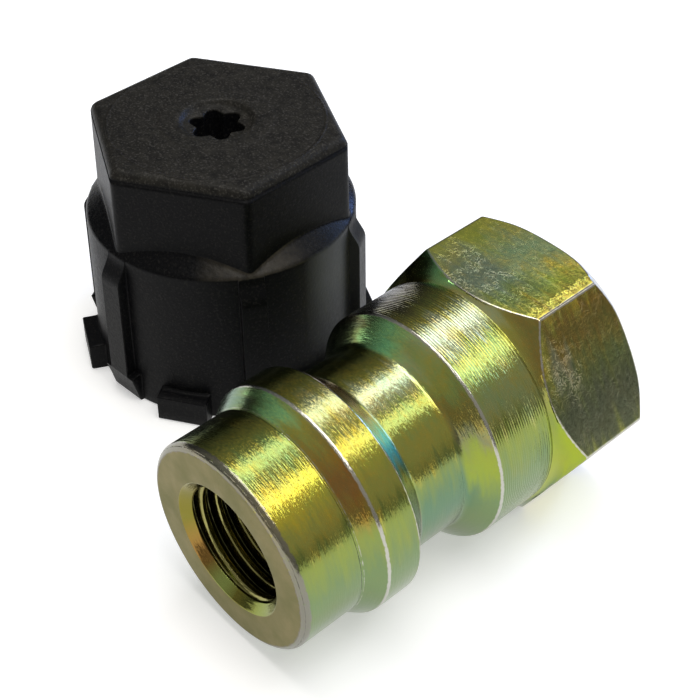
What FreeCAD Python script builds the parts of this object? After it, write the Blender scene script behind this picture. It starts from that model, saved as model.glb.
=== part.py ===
import FreeCAD, Part
import math
import os

# Straight service port adapter for a refrigerant line, lying on its side, with its screw cap
# standing beside it. Lengths are in millimetres.
#
# The adapter is drawn along its own axis first: S runs from the tip face (S = 0) towards the
# hexagon end, which is +X in the drawing frame. It is laid on the surface at the end.

# Outside of the port, from the tip face backwards
NOSE_R = 8.0
NOSE_EDGE = 0.35            # small chamfer at the tip face
NOSE_END = 5.0              # where the nose cylinder ends and the lead cone begins
FLANGE_R = 9.0
FLANGE_START = 6.45
FLANGE_WIDTH = 2.8
GROOVE_R = 7.35
GROOVE_END = 15.4
COLLAR_R = 9.2
COLLAR_START = 16.95
TURNED_FILLET = 0.5         # inside corners of the turned outline
EDGE_BREAK = 0.12           # outside corners of the turned outline

# Hexagon bar that the adapter is turned from
HEX_AF = 19.0
HEX_CORNER_FRONT = 23.9     # where the hexagon's corner edges begin
HEX_CORNER_LENGTH = 5.7
HEX_FILLET = 1.0            # from the collar up into the hexagon's chamfer
BODY_LENGTH = 31.0

# Threaded bore in the nose, M10 x 1.25, drawn at its tapping drill
PORT_THREAD_MAJOR_R = 5.0
PORT_THREAD_DEPTH = 0.65
PORT_SINK = 0.15            # how far the countersink stands outside the thread
PORT_THREAD_END = 7.6
DRILL_POINT = math.radians(31)

# Stepped bore for the valve core
CORE_THREAD_R = 2.65
CORE_RUNOUT = 0.4
CORE_SEAT_LENGTH = 0.7
CORE_NECK_R = 2.05
CORE_NECK_LENGTH = 1.0
PASSAGE_R = 2.4

# Valve core: plug, barrel and seal ring
CORE_CLEARANCE = 0.05
PLUG_BELOW_THREAD = 1.35    # keeps the pin's top below the port's thread
PLUG_LENGTH = 3.6
PLUG_TANG = 1.7             # length of the flats that the core key turns
PLUG_TANG_CUT = 0.9         # how much each flat takes off the plug
PLUG_WEB = 1.0              # bridge across the plug that guides the pin
PLUG_WALL = 1.05
PLUG_SLOT = 1.0             # gas slots either side of the pin
BARREL_FLANGE = 0.5
BARREL_FLANGE_STEP = 0.25
BARREL_WAIST_STEP = 0.5
BARREL_GAP = 0.25
BARREL_LENGTH = 4.9
BARREL_WALL = 0.6
BARREL_WEB = 0.7            # floor of the barrel, which the spring stands on
BARREL_PORT_R = 0.2         # gas holes through that floor
BARREL_PORTS = 3

# Valve core: the pin and what moves with it
PIN_R = 0.5
PIN_PROUD = 1.2             # how far the pin stands out of the plug
PIN_CLEARANCE = 0.05
PIN_COLLAR_GAP = 0.25
PIN_COLLAR = 0.35
PIN_COLLAR_BELOW_PLUG = 0.7
PIN_RIVET_STEP = 0.3
PIN_RIVET = 0.3
STROKE = 1.2                # how far the pin can be pressed
POPPET_GAP = 0.55
POPPET_LENGTH = 1.5
POPPET_WALL = 0.25
POPPET_SEAL_LENGTH = 0.6
POPPET_SEAL_PROUD = 0.15
SEAT_GAP = 0.02
SPRING_WIRE_R = 0.13
SPRING_TURNS = 5

# Depressor and seal ring in the line end
DISC_ROOM = 0.3             # from the pressed valve's end to the depressor
DEPRESSOR_STEP = 0.8
DEPRESSOR_DISC = 1.0
DEPRESSOR_SLOT_R = 0.7
DEPRESSOR_SLOTS = 3
DEPRESSOR_PIN_R = 0.9
DEPRESSOR_PIN = 3.5         # past the seal ring, and short of the line thread
DEPRESSOR_PIN_EDGE = 0.25
LINE_THREAD_MAJOR_R = 5.56  # 7/16-20
LINE_THREAD_DEPTH = 0.61
LINE_SINK = 0.34
LINE_SEAL = 1.5
LINE_SEAL_GAP = 0.16
LINE_SEAL_BORE_R = 2.6
LINE_RELIEF = 3.2           # undercut behind the line thread, which holds the seal ring

# Screw cap: outside
CAP_HEIGHT = 21.5
HEAD_TOP_AF = 18.5
HEAD_LOW_AF = 18.9
HEAD_EDGE = 0.6
SKIRT_TOP = 13.95           # height of the skirt's shoulder
SKIRT_TOP_R = 11.0
SKIRT_RIM_R = 11.25
SHOULDER_RISE = 1.13        # the cone from the skirt up to the middle of each flat
SHOULDER_RUN = 1.6
RIB_WIDTH = 2.05
RIB_PROUD = 0.86
RIB_TOP = 11.8
RIB_SLANT = 1.95
FOOT_WIDTH = 3.3
FOOT_HEIGHT = 2.7
TAB_WIDTH = 4.2
TAB_HEIGHT = 2.5
TAB_PROUD = 1.15
CAP_SIDES = 6

# Screw cap: inside
CAVITY_HEIGHT = 17.5
SKIRT_ROOM = 0.5            # round the adapter's flange
HEAD_ROOM = 0.4             # round the adapter's nose
SKIRT_BORE_TOP = 12.3
POST_CLEARANCE = 0.05
POST_LENGTH = 6.6
POST_NECK_STEP = 0.75
POST_NECK = 2.2
POST_EDGE = 0.6
RECESS_R = 2.95
RECESS_DEPTH = 0.5
SOCKET_R = 2.25             # six-lobe socket for the driver
SOCKET_FLUTE_R = 1.0
SOCKET_FLUTE_REACH = 0.63   # how deep each flute cuts into the socket's circle
SOCKET_DEPTH = 5.5
CAP_SEAL_SECTION_R = 0.9
CAP_SEAL_CLEARANCE = 0.05

# Where the cap stands, measured from the adapter
CAP_GAP = 2.95              # between the hexagon's corner and the cap's tabs
CAP_BEHIND_TIP = 20.9
CAP_TURN = math.radians(-26.7)

# Places that follow along the adapter
FLANGE_END = FLANGE_START + FLANGE_WIDTH
HEX_CORNER_R = HEX_AF / math.sqrt(3)
HEX_CORNER_REAR = HEX_CORNER_FRONT + HEX_CORNER_LENGTH
HEX_CONE_FOOT = HEX_CORNER_FRONT - (HEX_CORNER_R - COLLAR_R)
HEX_FLAT_FRONT = HEX_CORNER_FRONT - (HEX_CORNER_R - HEX_AF / 2)
PORT_THREAD_R = PORT_THREAD_MAJOR_R - PORT_THREAD_DEPTH
PORT_SINK_R = PORT_THREAD_MAJOR_R + PORT_SINK
PLUG_TOP = PORT_THREAD_END + PLUG_BELOW_THREAD
PLUG_END = PLUG_TOP + PLUG_LENGTH
CORE_THREAD_END = PLUG_END + CORE_RUNOUT
CORE_SEAT_END = CORE_THREAD_END + CORE_SEAT_LENGTH
CORE_NECK_END = CORE_SEAT_END + CORE_NECK_LENGTH
BARREL_END = PLUG_END + BARREL_LENGTH
BARREL_FLOOR = BARREL_END - BARREL_WEB
PIN_COLLAR_AT = PLUG_END + PIN_COLLAR_BELOW_PLUG
POPPET_TOP = BARREL_END + SEAT_GAP + POPPET_SEAL_PROUD
POPPET_END = POPPET_TOP + POPPET_LENGTH
PIN_END = POPPET_END + PIN_RIVET
DISC_FRONT = PIN_END + STROKE + DISC_ROOM
DISC_REAR = DISC_FRONT + DEPRESSOR_DISC
LINE_RELIEF_END = DISC_REAR + LINE_RELIEF
LINE_THREAD_R = LINE_THREAD_MAJOR_R - LINE_THREAD_DEPTH
LINE_SINK_R = LINE_THREAD_MAJOR_R + LINE_SINK

# Radii that follow from what each piece sits in
PLUG_R = CORE_THREAD_R - CORE_CLEARANCE
PLUG_BORE_R = PLUG_R - PLUG_WALL
BARREL_FLANGE_R = PLUG_R - BARREL_FLANGE_STEP
BARREL_WAIST_R = CORE_NECK_R - BARREL_WAIST_STEP
BARREL_R = CORE_NECK_R - BARREL_GAP
BARREL_BORE_R = BARREL_R - BARREL_WALL
PIN_HOLE_R = PIN_R + PIN_CLEARANCE
PIN_COLLAR_R = BARREL_BORE_R - PIN_COLLAR_GAP
POPPET_R = PASSAGE_R - POPPET_GAP
POPPET_BORE_R = POPPET_R - POPPET_WALL
DEPRESSOR_R = PASSAGE_R + DEPRESSOR_STEP
LINE_SEAL_R = LINE_THREAD_MAJOR_R - LINE_SEAL_GAP

# Places and radii that follow on the cap
SKIRT_BORE_R = FLANGE_R + SKIRT_ROOM
HEAD_BORE_R = NOSE_R + HEAD_ROOM
POST_R = PORT_THREAD_MAJOR_R - POST_CLEARANCE
POST_NECK_R = POST_R - POST_NECK_STEP
POST_END = CAVITY_HEIGHT - POST_LENGTH
SOCKET_FLOOR = CAP_HEIGHT - RECESS_DEPTH - SOCKET_DEPTH
WALL_MIDDLE_R = (SKIRT_BORE_R + SKIRT_TOP_R) / 2
TAB_R = SKIRT_RIM_R + TAB_PROUD

AXIS = FreeCAD.Vector(1, 0, 0)
UP = FreeCAD.Vector(0, 0, 1)
ORIGIN = FreeCAD.Vector(0, 0, 0)


def corner_arc(before, corner, after, radius):
    """Start, middle and end of the arc that rounds a corner of an outline."""
    to_before = (before - corner).normalize()
    to_after = (after - corner).normalize()
    half = to_before.getAngle(to_after) / 2
    reach = radius / math.tan(half)
    centre = corner + (to_before + to_after).normalize() * (radius / math.sin(half))
    middle = centre + (corner - centre).normalize() * radius
    return corner + to_before * reach, middle, corner + to_after * reach


def outline_face(points):
    """A closed face in the XZ plane from (x, z) or (x, z, corner radius) points."""
    spots = [FreeCAD.Vector(point[0], 0, point[1]) for point in points]
    edges = []
    ends = []
    for i, point in enumerate(points):
        ends.append((spots[i], spots[i]))
        if len(point) == 3:
            start, middle, end = corner_arc(spots[i - 1], spots[i], spots[(i + 1) % len(spots)], point[2])
            edges.append(Part.Arc(start, middle, end).toShape())
            ends[i] = (start, end)
    for i in range(len(points)):
        edges.append(Part.LineSegment(ends[i][1], ends[(i + 1) % len(points)][0]).toShape())
    return Part.Face(Part.Wire(Part.__sortEdges__(edges)))


def turned(points):
    """A solid turned about the adapter's axis, from (S, radius) points."""
    return outline_face(points).revolve(ORIGIN, AXIS, 360)


def turned_upright(points):
    """A solid turned about a vertical axis, from (radius, height) points."""
    return outline_face(points).revolve(ORIGIN, UP, 360)


def slab(points, width):
    """An upright slab of the given width from (radius, height) points, centred on the XZ plane."""
    piece = outline_face(points).extrude(FreeCAD.Vector(0, width, 0))
    piece.translate(FreeCAD.Vector(0, -width / 2, 0))
    return piece


def along_axis(radius, start, end, offset=0.0):
    """A round bar along the adapter's axis, or beside it."""
    return Part.makeCylinder(radius, end - start, FreeCAD.Vector(start, offset, 0), AXIS)


def tube(outer, inner, start, end):
    """A plain ring about the adapter's axis."""
    return along_axis(outer, start, end).cut(along_axis(inner, start, end))


def ring_of(shape, count, axis, first=0.0):
    """Copies of a shape, evenly spaced about an axis through the origin."""
    copies = []
    for i in range(count):
        copy = shape.copy()
        copy.rotate(ORIGIN, axis, first + i * 360 / count)
        copies.append(copy)
    return copies


def hexagon(across_flats, height):
    """Corner points of a level hexagon about the vertical axis, first corner on +X."""
    radius = across_flats / math.sqrt(3)
    turns = [math.radians(60 * i) for i in range(6)]
    return [FreeCAD.Vector(radius * math.cos(t), radius * math.sin(t), height) for t in turns]


def hexagon_bar():
    """The bar that the adapter is turned from, with one flat facing down."""
    corners = [FreeCAD.Vector(0, point.x, point.y) for point in hexagon(HEX_AF, 0)]
    return Part.Face(Part.makePolygon(corners + corners[:1])).extrude(AXIS * BODY_LENGTH)


def adapter_outside():
    """The hexagon bar with its turned nose, flange, groove, collar and corner chamfers."""
    beyond = EDGE_BREAK
    outline = turned([
        (0, 0),
        (0, NOSE_R - NOSE_EDGE),
        (NOSE_EDGE, NOSE_R),
        (NOSE_END, NOSE_R, TURNED_FILLET),
        (FLANGE_START, FLANGE_R, EDGE_BREAK),
        (FLANGE_END, FLANGE_R, EDGE_BREAK),
        (FLANGE_END + FLANGE_R - GROOVE_R, GROOVE_R, TURNED_FILLET),
        (GROOVE_END, GROOVE_R, TURNED_FILLET),
        (COLLAR_START, COLLAR_R, EDGE_BREAK),
        (HEX_CONE_FOOT, COLLAR_R, HEX_FILLET),
        (HEX_CORNER_FRONT + beyond, HEX_CORNER_R + beyond),
        (HEX_CORNER_REAR - beyond, HEX_CORNER_R + beyond),
        (BODY_LENGTH, HEX_CORNER_R - (BODY_LENGTH - HEX_CORNER_REAR)),
        (BODY_LENGTH, 0),
    ])
    return hexagon_bar().common(outline)


def adapter_bore():
    """The stepped hole right through the adapter."""
    return turned([
        (0, 0),
        (0, PORT_SINK_R),
        (PORT_SINK_R - PORT_THREAD_R, PORT_THREAD_R),
        (PORT_THREAD_END, PORT_THREAD_R),
        (PORT_THREAD_END + (PORT_THREAD_R - CORE_THREAD_R) * math.tan(DRILL_POINT), CORE_THREAD_R),
        (CORE_THREAD_END, CORE_THREAD_R),
        (CORE_SEAT_END, CORE_NECK_R),
        (CORE_NECK_END, CORE_NECK_R),
        (CORE_NECK_END, PASSAGE_R),
        (DISC_FRONT, PASSAGE_R),
        (DISC_FRONT, DEPRESSOR_R),
        (DISC_REAR, DEPRESSOR_R),
        (DISC_REAR, LINE_THREAD_MAJOR_R),
        (LINE_RELIEF_END, LINE_THREAD_MAJOR_R),
        (LINE_RELIEF_END + LINE_THREAD_DEPTH, LINE_THREAD_R),
        (BODY_LENGTH - (LINE_SINK_R - LINE_THREAD_R), LINE_THREAD_R),
        (BODY_LENGTH, LINE_SINK_R),
        (BODY_LENGTH, 0),
    ])


def adapter_body():
    return adapter_outside().cut(adapter_bore())


def core_plug():
    """Threaded plug of the valve core, with flats for the key and slots for the gas."""
    web_end = PLUG_TOP + PLUG_WEB
    plug = along_axis(PLUG_R, PLUG_TOP, PLUG_END)
    plug = plug.cut(along_axis(PLUG_BORE_R, web_end, PLUG_END))
    plug = plug.cut(along_axis(PIN_HOLE_R, PLUG_TOP, web_end))
    for side in (-1, 1):
        slot_z = side * PLUG_BORE_R if side < 0 else PIN_COLLAR_R
        slot_corner = FreeCAD.Vector(PLUG_TOP, -PLUG_SLOT / 2, slot_z)
        plug = plug.cut(Part.makeBox(PLUG_WEB, PLUG_SLOT, PLUG_BORE_R - PIN_COLLAR_R, slot_corner))
        flat_y = PLUG_R - PLUG_TANG_CUT if side > 0 else -PLUG_R
        flat_corner = FreeCAD.Vector(PLUG_TOP, flat_y, -PLUG_R)
        plug = plug.cut(Part.makeBox(PLUG_TANG, PLUG_TANG_CUT, 2 * PLUG_R, flat_corner))
    return plug


def core_barrel():
    """Barrel below the plug: it carries the seal ring outside and the spring inside."""
    waist = PLUG_END + BARREL_FLANGE
    barrel = turned([
        (PLUG_END, 0),
        (PLUG_END, BARREL_FLANGE_R),
        (waist, BARREL_FLANGE_R),
        (waist, BARREL_WAIST_R),
        (CORE_NECK_END, BARREL_WAIST_R),
        (CORE_NECK_END, BARREL_R),
        (BARREL_END, BARREL_R),
        (BARREL_END, 0),
    ])
    barrel = barrel.cut(along_axis(BARREL_BORE_R, PLUG_END, BARREL_FLOOR))
    barrel = barrel.cut(along_axis(PIN_HOLE_R, BARREL_FLOOR, BARREL_END))
    port = along_axis(BARREL_PORT_R, BARREL_FLOOR, BARREL_END, (PIN_HOLE_R + BARREL_BORE_R) / 2)
    for hole in ring_of(port, BARREL_PORTS, AXIS):
        barrel = barrel.cut(hole)
    return barrel


def core_seal_ring():
    """Tapered ring round the barrel's waist, pressed on the cone at the end of the core's thread."""
    start = PLUG_END + BARREL_FLANGE + CORE_CLEARANCE
    end = CORE_NECK_END - CORE_CLEARANCE
    seat_slope = (CORE_THREAD_R - CORE_NECK_R) / CORE_SEAT_LENGTH
    inner = BARREL_WAIST_R + CORE_CLEARANCE
    outer = CORE_NECK_R - CORE_CLEARANCE
    return turned([
        (start, inner),
        (start, outer + seat_slope * (CORE_SEAT_END - start)),
        (CORE_SEAT_END, outer),
        (end, outer),
        (end, inner),
    ])


def core_pin():
    """Pin of the valve core: rounded top, the spring's collar and a riveted end."""
    return turned([
        (PLUG_TOP - PIN_PROUD, 0),
        (PLUG_TOP - PIN_PROUD, PIN_R, PIN_R / 3),
        (PIN_COLLAR_AT, PIN_R),
        (PIN_COLLAR_AT, PIN_COLLAR_R),
        (PIN_COLLAR_AT + PIN_COLLAR, PIN_COLLAR_R),
        (PIN_COLLAR_AT + PIN_COLLAR, PIN_R),
        (POPPET_END, PIN_R),
        (POPPET_END, PIN_R + PIN_RIVET_STEP),
        (PIN_END, PIN_R),
        (PIN_END, 0),
    ])


def core_poppet():
    """Cup that holds the valve's rubber, riveted on the pin."""
    floor = POPPET_TOP - POPPET_SEAL_PROUD + POPPET_SEAL_LENGTH
    return turned([
        (POPPET_TOP, POPPET_BORE_R),
        (POPPET_TOP, POPPET_R),
        (POPPET_END, POPPET_R, POPPET_WALL),
        (POPPET_END, PIN_R),
        (floor, PIN_R),
        (floor, POPPET_BORE_R),
    ])


def poppet_seal():
    """Rubber disc in the cup that closes on the barrel's end."""
    start = POPPET_TOP - POPPET_SEAL_PROUD
    return tube(POPPET_BORE_R, PIN_R, start, start + POPPET_SEAL_LENGTH)


def core_spring():
    """Coil spring round the pin, between its collar and the barrel's floor."""
    first = PIN_COLLAR_AT + PIN_COLLAR + SPRING_WIRE_R
    last = BARREL_FLOOR - SPRING_WIRE_R
    coil_r = (PIN_R + BARREL_BORE_R) / 2
    helix = Part.makeHelix((last - first) / SPRING_TURNS, last - first, coil_r)
    section = Part.makeCircle(SPRING_WIRE_R, FreeCAD.Vector(coil_r, 0, 0), FreeCAD.Vector(0, 1, 0))
    coil = Part.Wire(helix).makePipeShell([Part.Wire(section)], True, True)
    coil.rotate(ORIGIN, FreeCAD.Vector(0, 1, 0), 90)
    coil.translate(AXIS * first)
    return coil


def depressor():
    """Notched disc with a pin that opens the valve of the fitting the adapter is screwed on."""
    pin_end = DISC_REAR + DEPRESSOR_PIN
    piece = turned([
        (DISC_FRONT, 0),
        (DISC_FRONT, DEPRESSOR_R),
        (DISC_REAR, DEPRESSOR_R),
        (DISC_REAR, DEPRESSOR_PIN_R),
        (pin_end - DEPRESSOR_PIN_EDGE, DEPRESSOR_PIN_R),
        (pin_end, DEPRESSOR_PIN_R - DEPRESSOR_PIN_EDGE),
        (pin_end, 0),
    ])
    slot_at = (DEPRESSOR_PIN_R + DEPRESSOR_R) / 2
    hole = along_axis(DEPRESSOR_SLOT_R, DISC_FRONT, DISC_REAR, slot_at)
    for slot in ring_of(hole, DEPRESSOR_SLOTS, AXIS):
        piece = piece.cut(slot)
    return piece


def line_seal_ring():
    """Flat ring at the bottom of the line thread, kept by the undercut."""
    return tube(LINE_SEAL_R, LINE_SEAL_BORE_R, DISC_REAR, DISC_REAR + LINE_SEAL)


def cap_head():
    """Hexagonal head with drawn-in sides and rounded edges round its top."""
    low = hexagon(HEAD_LOW_AF, SKIRT_TOP - SHOULDER_RISE)
    top = hexagon(HEAD_TOP_AF, CAP_HEIGHT)
    head = Part.makeLoft([Part.makePolygon(points + points[:1]) for points in (low, top)], True, True)
    rim = [edge for edge in head.Edges if min(v.Z for v in edge.Vertexes) > CAP_HEIGHT - HEAD_EDGE]
    return head.makeFillet(HEAD_EDGE, rim)


def cap_skirt():
    """Round skirt with the sloping shoulder that runs into the head's flats."""
    shoulder_top = SKIRT_TOP + SHOULDER_RISE
    return turned_upright([
        (0, 0),
        (SKIRT_RIM_R, 0),
        (SKIRT_TOP_R, SKIRT_TOP, EDGE_BREAK),
        (SKIRT_TOP_R - SHOULDER_RUN, shoulder_top),
        (0, shoulder_top),
    ])


def skirt_outside(height):
    """The skirt's outer radius at a height: it widens towards the rim."""
    return SKIRT_RIM_R + (SKIRT_TOP_R - SKIRT_RIM_R) * height / SKIRT_TOP


def cap_rib():
    """Grip rib below one corner of the head, with its slanted top and its foot."""
    slant_top = RIB_TOP + RIB_SLANT
    rib = slab([
        (WALL_MIDDLE_R, 0),
        (SKIRT_RIM_R + RIB_PROUD, 0),
        (skirt_outside(RIB_TOP) + RIB_PROUD, RIB_TOP),
        (skirt_outside(slant_top), slant_top),
        (WALL_MIDDLE_R, slant_top),
    ], RIB_WIDTH)
    foot = slab([
        (WALL_MIDDLE_R, 0),
        (SKIRT_RIM_R + RIB_PROUD, 0),
        (skirt_outside(FOOT_HEIGHT) + RIB_PROUD, FOOT_HEIGHT),
        (WALL_MIDDLE_R, FOOT_HEIGHT),
    ], FOOT_WIDTH)
    return rib.fuse(foot)


def cap_tab():
    """Tab at the rim, below the middle of one flat."""
    return slab([
        (WALL_MIDDLE_R, 0),
        (TAB_R, 0),
        (TAB_R, TAB_HEIGHT),
        (WALL_MIDDLE_R, TAB_HEIGHT),
    ], TAB_WIDTH)


def cap_socket():
    """Round recess in the top with the six-lobe driver socket in its floor."""
    recess = Part.makeCylinder(RECESS_R, RECESS_DEPTH, UP * (CAP_HEIGHT - RECESS_DEPTH))
    socket = Part.makeCylinder(SOCKET_R, SOCKET_DEPTH, UP * SOCKET_FLOOR)
    flute_at = SOCKET_R + SOCKET_FLUTE_R - SOCKET_FLUTE_REACH
    flute = Part.makeCylinder(SOCKET_FLUTE_R, SOCKET_DEPTH, FreeCAD.Vector(flute_at, 0, SOCKET_FLOOR))
    for copy in ring_of(flute, CAP_SIDES, UP, 30):
        socket = socket.cut(copy)
    return recess.fuse(socket)


def cap_cavity():
    """Space inside the skirt and the head, round the threaded post."""
    return turned_upright([
        (0, 0),
        (SKIRT_BORE_R, 0),
        (SKIRT_BORE_R, SKIRT_BORE_TOP),
        (HEAD_BORE_R, SKIRT_BORE_TOP + SKIRT_BORE_R - HEAD_BORE_R),
        (HEAD_BORE_R, CAVITY_HEIGHT, TURNED_FILLET),
        (POST_NECK_R, CAVITY_HEIGHT),
        (POST_NECK_R, CAVITY_HEIGHT - POST_NECK),
        (POST_R, CAVITY_HEIGHT - POST_NECK),
        (POST_R, POST_END + POST_EDGE),
        (POST_R - POST_EDGE, POST_END),
        (0, POST_END),
    ])


def service_cap():
    grips = ring_of(cap_rib(), CAP_SIDES, UP) + ring_of(cap_tab(), CAP_SIDES, UP, 30)
    outside = cap_skirt().fuse([cap_head()] + grips).removeSplitter()
    return outside.cut(cap_cavity()).cut(cap_socket())


def cap_seal_ring():
    """Ring on the neck of the cap's post, which closes on the nose's countersink."""
    centre_r = POST_NECK_R + CAP_SEAL_CLEARANCE + CAP_SEAL_SECTION_R
    height = CAVITY_HEIGHT - CAP_SEAL_CLEARANCE - CAP_SEAL_SECTION_R
    return Part.makeTorus(centre_r, CAP_SEAL_SECTION_R, UP * height)


def resting_line(supports, balance):
    """The first support and the slope of the line that the adapter rests on.

    Supports are (S, radius) points of its underside. The line touches one on each side of the
    balance point, and the others stay above it.
    """
    slack = EDGE_BREAK / 1000
    for front in supports:
        for rear in supports:
            if front[0] < balance < rear[0]:
                slope = (rear[1] - front[1]) / (rear[0] - front[0])
                if all(r - front[1] < slope * (s - front[0]) + slack for s, r in supports):
                    return front, slope


def lay_down(shapes, body):
    """Lay the adapter's pieces on the surface, tip towards -Y."""
    flat = HEX_AF / 2
    supports = [
        (NOSE_EDGE, NOSE_R),
        (FLANGE_START, FLANGE_R),
        (FLANGE_END, FLANGE_R),
        (COLLAR_START, COLLAR_R),
        (HEX_FLAT_FRONT, flat),
        (HEX_CORNER_REAR + HEX_CORNER_R - flat, flat),
    ]
    front, slope = resting_line(supports, body.Solids[0].CenterOfMass.x)
    lean = math.atan(slope)
    tip_height = front[1] * math.cos(lean) - front[0] * math.sin(lean)
    for shape in shapes:
        shape.rotate(ORIGIN, UP, 90)
        shape.rotate(ORIGIN, FreeCAD.Vector(1, 0, 0), math.degrees(lean))
        shape.translate(UP * tip_height)


def stand_beside(shapes):
    """Stand the cap's pieces on the rim beside the adapter's hexagon."""
    place = FreeCAD.Vector(-(HEX_CORNER_R + CAP_GAP + TAB_R), CAP_BEHIND_TIP, 0)
    for shape in shapes:
        shape.rotate(ORIGIN, UP, math.degrees(CAP_TURN))
        shape.translate(place)


adapter = {
    "adapter_body": adapter_body(),
    "core_plug": core_plug(),
    "core_barrel": core_barrel(),
    "core_seal_ring": core_seal_ring(),
    "core_pin": core_pin(),
    "core_poppet": core_poppet(),
    "poppet_seal": poppet_seal(),
    "core_spring": core_spring(),
    "depressor": depressor(),
    "line_seal_ring": line_seal_ring(),
}
cap = {
    "service_cap": service_cap(),
    "cap_seal_ring": cap_seal_ring(),
}
lay_down(adapter.values(), adapter["adapter_body"])
stand_beside(cap.values())

# The origin is the middle of the whole set's box, on the surface it lies on
pieces = {**adapter, **cap}
box = Part.makeCompound(list(pieces.values())).optimalBoundingBox(False, False)
to_origin = FreeCAD.Vector(-box.Center.x, -box.Center.y, -box.ZMin)
os.makedirs("parts", exist_ok=True)
for name, shape in pieces.items():
    shape.translate(to_origin)
    solid = shape.Solids[0]
    solid.exportStep(f"parts/{name}.step")
    volume_and_centre = " ".join(f"{v:.3f}" for v in (solid.Volume, *solid.CenterOfMass))
    print(name, len(shape.Solids), "solid, valid", solid.isValid(), "volume and centre", volume_and_centre)
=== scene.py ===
import math

import bpy
import numpy as np
from mathutils import Matrix, Vector


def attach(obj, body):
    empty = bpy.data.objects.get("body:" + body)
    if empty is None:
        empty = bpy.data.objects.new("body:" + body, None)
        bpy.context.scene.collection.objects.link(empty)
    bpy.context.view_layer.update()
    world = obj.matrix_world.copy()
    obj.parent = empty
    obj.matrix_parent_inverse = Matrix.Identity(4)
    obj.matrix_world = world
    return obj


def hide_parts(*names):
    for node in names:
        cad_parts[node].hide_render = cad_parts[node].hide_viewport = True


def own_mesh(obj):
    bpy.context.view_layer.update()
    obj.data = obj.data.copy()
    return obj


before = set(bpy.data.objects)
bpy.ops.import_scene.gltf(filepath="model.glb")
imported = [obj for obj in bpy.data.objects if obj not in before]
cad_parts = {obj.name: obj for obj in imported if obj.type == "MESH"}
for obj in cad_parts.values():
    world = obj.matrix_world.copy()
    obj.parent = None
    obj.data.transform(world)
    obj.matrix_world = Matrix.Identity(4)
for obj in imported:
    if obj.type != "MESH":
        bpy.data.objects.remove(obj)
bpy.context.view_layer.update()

# Lengths are in millimetres until a mesh is made, and the scene is in metres.
MM = 0.001

# The adapter's axis. S runs along it from the tip face, and angles are counted from its upper side
# towards +X.
LEAN = math.radians(1.792)
TIP = np.array([13.9252, -16.4228, 8.7939])
ALONG = np.array([0.0, math.cos(LEAN), math.sin(LEAN)])
UPWARD = np.array([0.0, -math.sin(LEAN), math.cos(LEAN)])
SIDEWAYS = np.array([1.0, 0.0, 0.0])

# Outline of the adapter: radii, and places along its axis. The wear on the nose's edge fades
# between the two numbers of each pair.
NOSE_R = 8.0
NOSE_CHAMFER = 0.35
NOSE_EDGE = (0.4, 0.5)
NOSE_EDGE_R = (7.56, 7.62)
NOSE_END = 4.86
FLANGE_R = 9.0
FLANGE_FRONT = 6.45
FLANGE_REAR = 9.25
GROOVE_R = 7.35
GROOVE_FRONT = 10.9
GROOVE_REAR = 15.4
COLLAR_R = 9.2
COLLAR_FRONT = 16.95
COLLAR_REAR = 22.0
CONE_FRONT = 22.3
SIXTH = math.radians(60)
HALF_FLATS = 9.5
HEX_CORNER_R = HALF_FLATS / math.cos(SIXTH / 2)
HEX_CORNER_FRONT = 23.9
HEX_CORNER_REAR = 29.6
HEX_CORNER_SOFTNESS = 0.2
BODY_LENGTH = 31.0

# Stepped bore behind the port's thread, from the valve core to the line thread
CORE_THREAD_R = 2.65
CORE_THREAD_FRONT = 8.62
CORE_THREAD_END = 12.95
CORE_SEAT_END = 13.65
CORE_NECK_R = 2.05
CORE_NECK_END = 14.65
PASSAGE_R = 2.4
DISC_FRONT = 20.92
DISC_REAR = 21.92
DISC_R = 3.2
LINE_RELIEF_END = 25.12

# Threads: pitch, crest radius and root radius. The line thread's end lies past the end face, so
# that it is cut at its full depth there.
PORT_THREAD = (1.25, 4.35, 5.0)
PORT_THREAD_FRONT = 0.45
PORT_THREAD_END = 7.6
PORT_SINK_R = 5.15
LINE_THREAD = (1.27, 4.95, 5.56)
LINE_THREAD_END = 33.0
LINE_SINK_R = 5.9
POST_THREAD = (1.25, 4.95, 4.3)
POST_THREAD_ENDS = (11.2, 15.4)

# The foot of the cap's upright axis, the turn of its hexagon and its outline
CAP_FOOT = np.array([-12.3945, 4.4772, 0.0])
CAP_TURN = math.radians(-26.7)
CAP_HEIGHT = 21.5
HEAD_HALF_FLATS = 9.25
HEAD_DRAFT = 0.2 / 8.68
HEAD_EDGE = 0.8
HEAD_CORNER_SOFTNESS = 0.35
SKIRT_TOP = 13.95
SKIRT_TOP_R = 11.0
SKIRT_RIM_R = 11.25
SHOULDER_SLOPE = 1.6 / 1.13

# Ribs round the cap's skirt with a wider foot each, and tabs between them
RIB_HALF_WIDTH = 1.025
RIB_REACH = 0.86
RIB_SLANT = (11.7, 13.8)
RIB_TAPER_TOP = 2.6
FOOT_HALF_WIDTH = 1.65
FOOT_TOP = (2.6, 2.8)
TAB_HALF_WIDTH = 2.1
TAB_REACH_R = 12.4
TAB_TOP = (2.38, 2.5)
RIB_SOFTNESS = 0.12

# Angles from a rib's middle to the sides of rib, foot and tab, and the reach and step of the finer
# columns that the mesh has there, in degrees
CAP_SIDES = ((5.03, 0.5, 0.1), (8.1, 0.55, 0.13), (40.2, 0.8, 0.16))

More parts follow.
